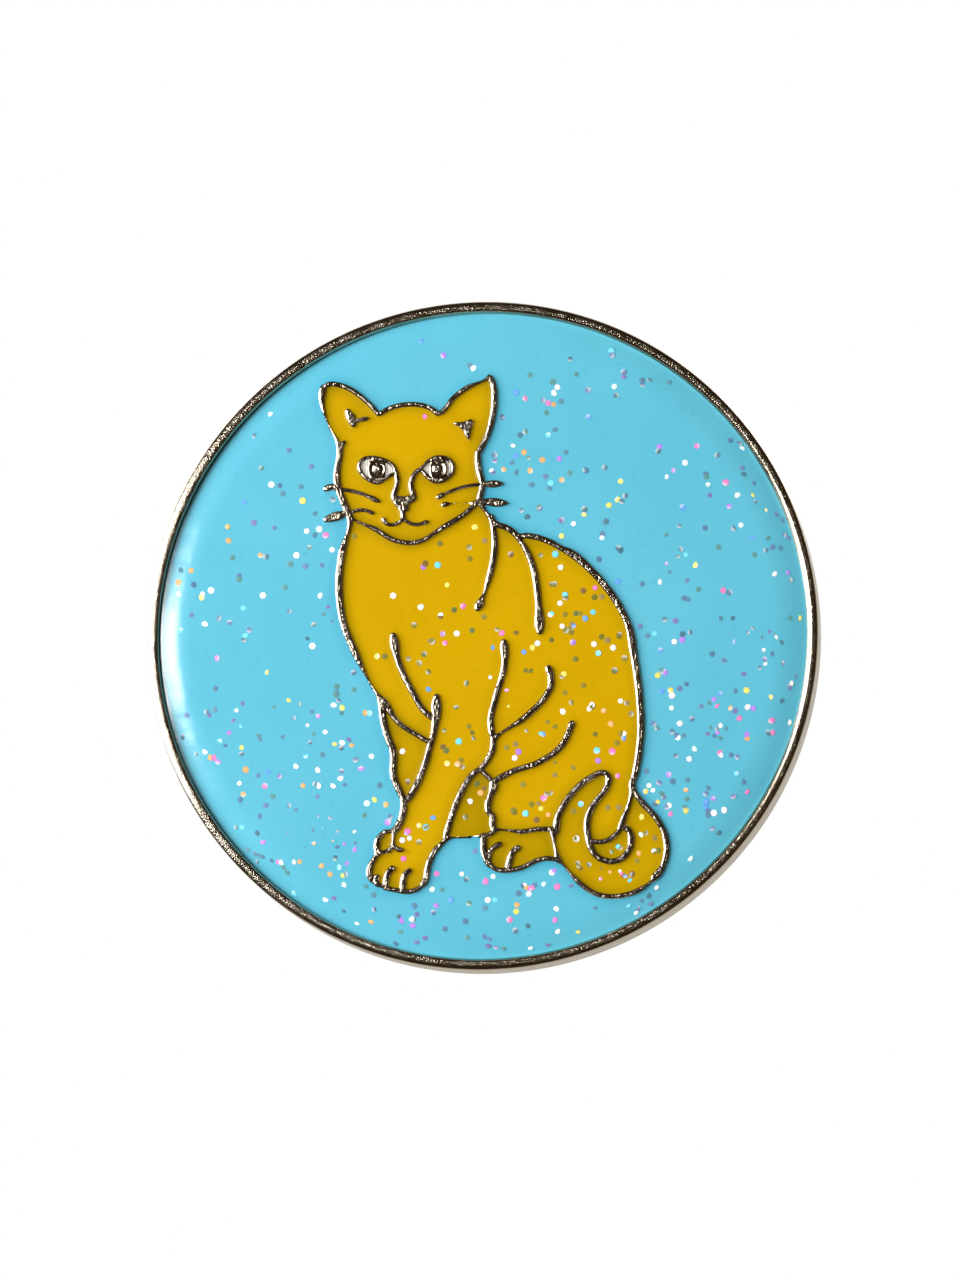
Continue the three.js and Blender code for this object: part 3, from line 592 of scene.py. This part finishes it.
glitter = {
    # the most flakes that are kept; on the head only one of the tries finds a place
    "blueCount": 520,
    "yellowCount": 190,
    "headCount": 9,
    "radius": (0.13, 0.175),
    "tilt": 5,            # the most that a flake leans as it falls, in degrees
    "tiltKept": 0.6,      # the share of this slope that is left when it has settled
    "lift": 0.006,        # how far a flake's middle stands out of the enamel
    "edgeDip": 0.004,     # how far its ring lies below its middle
    "sunk": 0.05,         # how far its lower ring lies in the enamel
    "metalGap": 0.24,     # its middle keeps this far from the lines
    "rimGap": 0.3,        # and this far from the rim
    "density": 0.42,      # chance that a place is used
    "moreRight": 0.006,   # the chance grows by this for each mm to the right
    "moreBelow": 0.012,   # and by this for each mm downwards
    "clumping": 0.3,      # how much thicker and thinner the scatter gets from place to place
    # painted sparkle and painted glints: the share of flakes painted bright as if catching the light, and the
    # share with one side painted white
    "sparkleShare": 0.42,  # flakes that throw a colour forwards
    "paintedGlintShare": 0.35,   # flakes with one white side
    "sparkleTints": ["#FFFFFF", "#FFFFFF", "#E8FFFF", "#6FE8FF", "#FFEE66", "#FF78C8", "#BE82FF", "#5AA6FF",
                    "#FFB766"],
    "dullTints": {
        "blue": ["#5E93AC", "#5A86A8", "#6E8FB8", "#5F9A9A", "#7B7FB6", "#4F7F95"],
        "yellow": ["#8F8420", "#7D7A22", "#9A8A2A", "#6F7A3A", "#8A6A30", "#A08A48"],
    },
}


def flakePlaces(labels, count, seed):
    # random places on the given fills, thinned towards the upper left, clear of the metal
    random = np.random.default_rng(seed)
    spots = random.uniform(-pinRadius, pinRadius, (count * 40, 2))
    column, row = (np.rint(spots / pitch).astype(int) + middle).T
    free = np.isin(owner[row, column], labels) & (depth[row, column] < -glitter["metalGap"])
    free &= np.hypot(*spots.T) < wellRadius - glitter["rimGap"]
    chance = glitter["density"] + glitter["moreRight"] * spots[:, 0] - glitter["moreBelow"] * spots[:, 1]
    chance += glitter["clumping"] * smoothNoise(3.0, seed + 1)[row, column]
    kept = spots[free & (random.uniform(0, 1, len(spots)) < chance)]
    return kept[:count]


def flakes(name, family, labels, count, seed):
    # every flake is a shallow six-sided cap: a middle point, a ring tilted with the film, and the same ring
    # sunk in the enamel
    places = flakePlaces(labels, count, seed)
    random = np.random.default_rng(seed + 2)
    total = len(places)
    radius = random.uniform(*glitter["radius"], total)[:, None]
    turn = random.uniform(0, np.pi / 3, total)[:, None] + np.arange(6) * np.pi / 3
    lean = np.tan(np.radians(random.uniform(0, glitter["tilt"], total)))[:, None]
    towards = random.uniform(0, 2 * np.pi, total)[:, None]
    column, row = (np.rint(places / pitch).astype(int) + middle).T
    roll = np.clip((np.hypot(*places.T) - enamel["rollStart"]) / (wellRadius - enamel["rollStart"]), 0, None)
    ground = enamelTop - enamel["sag"] - enamel["rollDrop"] * roll ** 2
    top = ground + glitter["lift"]
    ringX, ringZ = places[:, :1] + radius * np.cos(turn), places[:, 1:] + radius * np.sin(turn)
    leaning = lean * radius * glitter["tiltKept"] * np.cos(turn - towards)
    ringY = -(top[:, None] - glitter["edgeDip"] + leaning)
    sunk = np.broadcast_to(-(ground[:, None] - glitter["sunk"]), ringX.shape)
    hub = np.stack([places[:, 0], -top, places[:, 1]], axis=1)[:, None]
    upperRing, lowerRing = np.stack([ringX, ringY, ringZ], -1), np.stack([ringX, sunk, ringZ], -1)
    points = np.concatenate([hub, upperRing, lowerRing], axis=1)
    # the faces of one flake from the numbers of its thirteen points: 0, then 1 to 6, then 7 to 12
    corner = np.arange(6)
    after = (corner + 1) % 6
    one = np.concatenate([
        np.stack([0 * corner, 1 + corner, 1 + after], 1),
        np.stack([1 + corner, 7 + corner, 7 + after], 1),
        np.stack([1 + corner, 7 + after, 1 + after], 1),
    ])
    faces = (one[None] + 13 * np.arange(total)[:, None, None]).reshape(-1, 3)
    made = addPiece(name, points.reshape(-1, 3), faces, glitterFilm, "pin", smooth=False)
    # a sparkling flake is painted as catching the light, brightened and palest in its middle: a painted
    # highlight on the film's hue; a dull one is a little paler at its ring; and some flakes get a painted
    # glint, one side painted white
    sparkling = random.uniform(0, 1, total) < glitter["sparkleShare"]
    sparkleTints = np.array([linear(c) for c in glitter["sparkleTints"]])
    dullTints = np.array([linear(c) for c in glitter["dullTints"][family]])
    sparkleColour = sparkleTints[random.integers(0, len(sparkleTints), total)]
    dull = dullTints[random.integers(0, len(dullTints), total)]
    # painted highlight: sparkling flakes are brightened, and below made palest in the middle
    base = np.where(sparkling[:, None], sparkleColour * [1.15, 1.15, 1.15, 1], dull)
    turned = np.clip(np.cos(turn - towards), 0, 1)
    # painted glint: the ring is mixed towards white on the side the flake leans to
    paintedGlint = (random.uniform(0, 1, total) < glitter["paintedGlintShare"])[:, None] * turned * 0.8
    core = np.where(sparkling[:, None], base * 0.85 + 0.14, base)
    edge = np.where(sparkling[:, None], base * [0.8, 0.8, 0.8, 1], base * 1.1)
    ring = edge[:, None] + paintedGlint[..., None] * (1 - edge[:, None])
    colour = np.concatenate([core[:, None], ring, ring], axis=1)
    paint(made, "tint", colour.reshape(-1, 4))
    return made


blueLabels = [fills.index("background_enamel")]
headLabels = [fills.index("head_enamel")]
yellowLabels = [i for i, node in enumerate(fills) if i not in blueLabels + headLabels and "eye" not in node]
flakes("blue_glitter", "blue", blueLabels, glitter["blueCount"], 41)
flakes("yellow_glitter", "yellow", yellowLabels, glitter["yellowCount"], 51)
flakes("head_glitter", "yellow", headLabels, glitter["headCount"], 61)
print("glitter scattered")


nail = {
    "shank": 0.55,          # radius
    "footHeight": 0.2,
    "weldWidth": 0.2,       # the weld's fillet stands out this far from the shank
    "weldHeight": 0.6,
    "grooveStart": 1.9,     # from the tip
    "grooveLength": 0.55,
    "grooveDepth": 0.14,
    "pointLength": 1.1,
    "rounding": 0.12,
}


def postAt(sideName):
    # a turned nail: foot, weld fillet, shank, grip groove and blunt point
    low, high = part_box(sideName + "_post")
    x, length = (low.x + high.x) / 2 / mm, high.y / mm
    foot, shank = (high.x - low.x) / 2 / mm, nail["shank"]
    groove, neck = length - nail["grooveStart"], shank - nail["grooveDepth"]
    grooveEnd = groove + nail["grooveLength"]
    section = rounded([
        (0, 0.01), (foot, 0.01), (foot, nail["footHeight"]), (shank + nail["weldWidth"], 0.32),
        (shank, nail["weldHeight"]), (shank, groove), (neck, groove + 0.1), (neck, grooveEnd - 0.1),
        (shank, grooveEnd), (shank, length - nail["pointLength"]), (shank * 0.5, length - 0.3), (0, length),
    ], nail["rounding"], 4)
    points, faces = turnedSurface(section, 48, x)
    return addPiece(sideName + "_nail", points, faces, postSteel, "pin",
                    [sideName + "_post"], True)


dish = {
    "sheet": 0.36,      # thickness
    "hole": 0.72,       # radius of the hole for the post
    "rib": 4.15,        # radius of the pressed ring
    "ribWidth": 0.45,   # to each side of it
    "ribRise": 0.1,
    "rounding": 0.14,
}


def clutchBase(sideName):
    # a pressed dish: pierced middle, ring rib, rolled rim
    node = sideName + "_clutch_disc"
    low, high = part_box(node)
    x, y, radius = (low.x + high.x) / 2 / mm, low.y / mm, (high.x - low.x) / 2 / mm
    sheet, hole, rib, rise = dish["sheet"], dish["hole"], dish["rib"], dish["ribRise"]
    ribIn, ribOut = rib - dish["ribWidth"], rib + dish["ribWidth"]
    section = rounded([
        (hole, 0.14), (hole + 0.3, 0), (ribIn, 0), (rib, rise), (ribOut, 0), (radius - 0.65, 0),
        # the rolled rim
        (radius - 0.2, 0.14), (radius, 0.5), (radius - 0.06, 0.78), (radius - 0.32, 0.8),
        (radius - 0.44, 0.55), (radius - 0.75, sheet),
        (ribOut, sheet), (rib, sheet + rise), (ribIn, sheet), (hole, sheet), (hole, 0.14),
    ], dish["rounding"], 4)
    points, faces = turnedSurface([(r, y + h) for r, h in section], 96, x)
    return addPiece(sideName + "_clutch_dish", points, faces, pressedNickel, sideName + "_clutch",
                    [node], True)


def softenedCopy(node, name, body, finish, bevel):
    # the frame's own solid: points nearer than 0.002 mm and faces within 2 degrees are merged, and edges
    # sharper than 32 degrees are rounded off as pressed sheet has them
    shape = bmesh.new()
    shape.from_mesh(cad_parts[node].data)
    bmesh.ops.remove_doubles(shape, verts=shape.verts, dist=0.002 * mm)
    bmesh.ops.dissolve_limit(shape, angle_limit=math.radians(2), verts=shape.verts, edges=shape.edges)
    mesh = bpy.data.meshes.new(name)
    shape.to_mesh(mesh)
    shape.free()
    made = bpy.data.objects.new(name, mesh)
    bpy.context.scene.collection.objects.link(made)
    mesh.materials.clear()
    mesh.materials.append(finish)
    mesh.polygons.foreach_set("use_smooth", np.ones(len(mesh.polygons), dtype=bool))
    edge = made.modifiers.new("rounded edges", "BEVEL")
    edge.width, edge.segments, edge.limit_method = bevel * mm, 3, "ANGLE"
    edge.angle_limit = math.radians(32)
    edge.harden_normals = True
    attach(made, body)
    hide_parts(node)
    return made


hairpin = {
    "legSteps": 12,
    "bendSteps": 33,
    "wireSides": 14,
    "wireFit": 0.98,  # share of the solid wire's thickness
}


def clutchSpring(sideName):
    # round wire carried along a hairpin, two straight legs and the half circle that joins them, closing to a
    # point at both ends
    node = sideName + "_clutch_spring"
    low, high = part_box(node)
    low, high = np.array(low) / mm, np.array(high) / mm
    wire, x, y = (high[1] - low[1]) / 2, (low[0] + high[0]) / 2, (low[1] + high[1]) / 2
    leg = (high[0] - low[0]) / 2 - wire
    bendSide = np.sign(abs(high[2]) - abs(low[2]))
    tail = low[2] if bendSide > 0 else high[2]
    straight = (high[2] if bendSide > 0 else low[2]) - bendSide * (leg + wire)
    steps, sides = hairpin["legSteps"], hairpin["wireSides"]
    angle = np.linspace(0, np.pi, hairpin["bendSteps"])
    run = np.linspace(tail, straight, steps)
    path = np.concatenate([
        np.stack([np.full(steps, leg), run], 1),
        np.stack([leg * np.cos(angle), straight + bendSide * leg * np.sin(angle)], 1)[1:-1],
        np.stack([np.full(steps, -leg), run[::-1]], 1),
    ])
    ahead = np.gradient(path, axis=0)
    ahead /= np.linalg.norm(ahead, axis=1)[:, None]
    sideways = np.stack([ahead[:, 1], -ahead[:, 0]], 1)
    turn = np.arange(sides) * 2 * np.pi / sides
    fromEnd = np.minimum(np.arange(len(path)), np.arange(len(path))[::-1])
    size = wire * hairpin["wireFit"] * np.minimum(1, fromEnd * 0.7 + 0.02)
    out = size[:, None] * np.cos(turn)
    points = np.stack([
        x + path[:, :1] + sideways[:, :1] * out,
        y + size[:, None] * np.sin(turn),
        path[:, 1:] + sideways[:, 1:] * out,
    ], -1).reshape(-1, 3)
    faces = gridFaces(len(path), sides, roundColumns=True)
    return addPiece(sideName + "_hairpin_spring", points, faces, springSteel, sideName + "_clutch",
                    [node], True)


sheetEdges = {"bracket": 0.09, "wing": 0.1}  # rounding of the pressed sheet's edges

for sideName in ("left", "right"):
    postAt(sideName)
    clutchBase(sideName)
    clutchSpring(sideName)
    softenedCopy(sideName + "_clutch_frame", sideName + "_clutch_bracket", sideName + "_clutch",
                 pressedNickel, sheetEdges["bracket"])
    for wing in ("right_wing", "left_wing"):
        node = sideName + "_clutch_" + wing
        softenedCopy(node, node + "_sheet", node, pressedNickel, sheetEdges["wing"])
print("posts and clutches made")


studio = {
    "azimuth": 5.5,       # degrees round from straight ahead, towards +X
    "elevation": -7.2,    # degrees above the horizon
    "lens": 350.0,        # mm
    "sensor": 36,         # mm
    "frameHeight": 61.04,  # mm of the pin's plane that the frame is tall
    "aim": (-0.305, 0.014),  # where the middle of the frame looks, mm right and up of the origin
    "floorDrop": 420,      # mm below the pin's middle
    "floorReach": 20000,   # mm from the middle to each side
    "paperLight": 2.8,     # strength of the lamp that lights the paper alone
    "worldAhead": "#3A2D1E",   # what the metal mirrors of the side where the camera stands
    "worldBehind": "#D6D1C6",
    # azimuth and elevation in degrees, distance, width and height in mm, power in watts
    "softBoxes": {
        "key": (-60, 6, 420, 400, 190, 4.4),
        "front strip": (-22.5, 6.6, 450, 68, 46, 0.3),  # the white crescent on the rolled edge of the ground
        "back left": (-140, 25, 520, 300, 300, 1.2),
        "back right": (150, 30, 520, 260, 260, 0.9),
    },
}


def outwards(azimuth, elevation):
    # the direction from the pin at the given angles in degrees: azimuth round from -Y towards +X
    turn, rise = math.radians(azimuth), math.radians(elevation)
    return Vector((math.sin(turn) * math.cos(rise), -math.cos(turn) * math.cos(rise), math.sin(rise)))


def addCamera():
    # a long lens whose distance is the frame's height times the lens over the sensor's width
    back = outwards(studio["azimuth"], studio["elevation"])
    turn = math.radians(studio["azimuth"])
    right = Vector((math.cos(turn), math.sin(turn), 0))
    upward = back.cross(right)
    target = (right * studio["aim"][0] + upward * studio["aim"][1]) * mm
    data = bpy.data.cameras.new("camera")
    data.lens = studio["lens"]
    data.sensor_width = studio["sensor"]
    camera = bpy.data.objects.new("camera", data)
    camera.location = target + back * studio["frameHeight"] * mm * studio["lens"] / studio["sensor"]
    camera.rotation_mode = "QUATERNION"
    camera.rotation_quaternion = (-back).to_track_quat("-Z", "Y")
    data.clip_start, data.clip_end = 0.01, 20
    bpy.context.scene.collection.objects.link(camera)
    bpy.context.scene.camera = camera


def softBox(name, azimuth, elevation, away, width, height, power):
    # a soft box at the given place round the pin (degrees, mm), turned to face it
    out = outwards(azimuth, elevation)
    data = bpy.data.lights.new(name, "AREA")
    data.shape, data.size, data.size_y = "RECTANGLE", width * mm, height * mm
    data.energy = power
    light = bpy.data.objects.new(name, data)
    light.location = out * away * mm
    light.rotation_mode = "QUATERNION"
    light.rotation_quaternion = out.to_track_quat("Z", "Y")
    light.visible_camera = False
    bpy.context.scene.collection.objects.link(light)


def addFloor():
    # matt paper on the floor, pale enough to vanish into the white behind; its fibres are too fine to draw,
    # so clouds of 40 mm stand for them
    reach = studio["floorReach"]
    points = np.array([(-reach, -reach), (reach, -reach), (reach, reach), (-reach, reach)], float)
    points = np.column_stack([points, np.full(4, -studio["floorDrop"])]) * mm
    mesh = bpy.data.meshes.new("floor")
    mesh.from_pydata(points.tolist(), [], [(0, 1, 2, 3)])
    floor = bpy.data.objects.new("floor", mesh)
    bpy.context.scene.collection.objects.link(floor)
    paper, tree, shader, place = newFinish("matt white paper")
    fibre = addNode(tree, "TexNoise", values={"Scale": 1 / (40 * mm), "Detail": 6.0}, links={"Vector": place})
    tone = addNode(tree, "Mix", {"data_type": "RGBA"}, {6: linear("#EDEDEC"), 7: linear("#F6F6F5")},
                   {0: fibre.outputs["Fac"]})
    tree.links.new(tone.outputs[2], shader.inputs["Base Color"])
    shader.inputs["Roughness"].default_value = 0.9
    mesh.materials.append(paper)
    floor.visible_glossy = floor.visible_diffuse = False  # it neither lights the pin nor shows in its metal
    # one lamp lights the paper alone, so that it stays pale far away
    paperOnly = bpy.data.collections.new("paper only")
    paperOnly.objects.link(floor)
    wash = bpy.data.objects.new("paper light", bpy.data.lights.new("paper light", "SUN"))
    wash.data.energy = studio["paperLight"]
    wash.light_linking.receiver_collection = paperOnly
    bpy.context.scene.collection.objects.link(wash)


def addWorld():
    # seen directly the studio is plain white; what lights the pin is pale behind and beside it and dark
    # where the camera stands
    world = bpy.data.worlds.new("studio")
    bpy.context.scene.world = world
    world.use_nodes = True
    tree = world.node_tree
    tree.nodes.clear()
    way = addNode(tree, "TexCoord").outputs["Generated"]
    parts = addNode(tree, "SeparateXYZ", links={0: way})
    depthWay = addNode(tree, "MapRange", {"interpolation_type": "SMOOTHSTEP"},
                       {"From Min": -0.3, "From Max": 0.25}, {"Value": parts.outputs["Y"]})
    tone = addNode(tree, "Mix", {"data_type": "RGBA"},
                   {6: linear(studio["worldAhead"]), 7: linear(studio["worldBehind"])},
                   {0: depthWay.outputs[0]})
    lit = addNode(tree, "Background", values={"Strength": 1.0}, links={"Color": tone.outputs[2]})
    seen = addNode(tree, "Background", values={"Color": (1, 1, 1, 1), "Strength": 1.0})
    path = addNode(tree, "LightPath")
    both = addNode(tree, "MixShader", links={0: path.outputs["Is Camera Ray"], 1: lit.outputs[0],
                                             2: seen.outputs[0]})
    addNode(tree, "OutputWorld", links={"Surface": both.outputs[0]})


addCamera()
addFloor()
addWorld()
for name, values in studio["softBoxes"].items():
    softBox(name, *values)
bpy.context.scene.view_settings.view_transform = "Standard"
print("studio set")
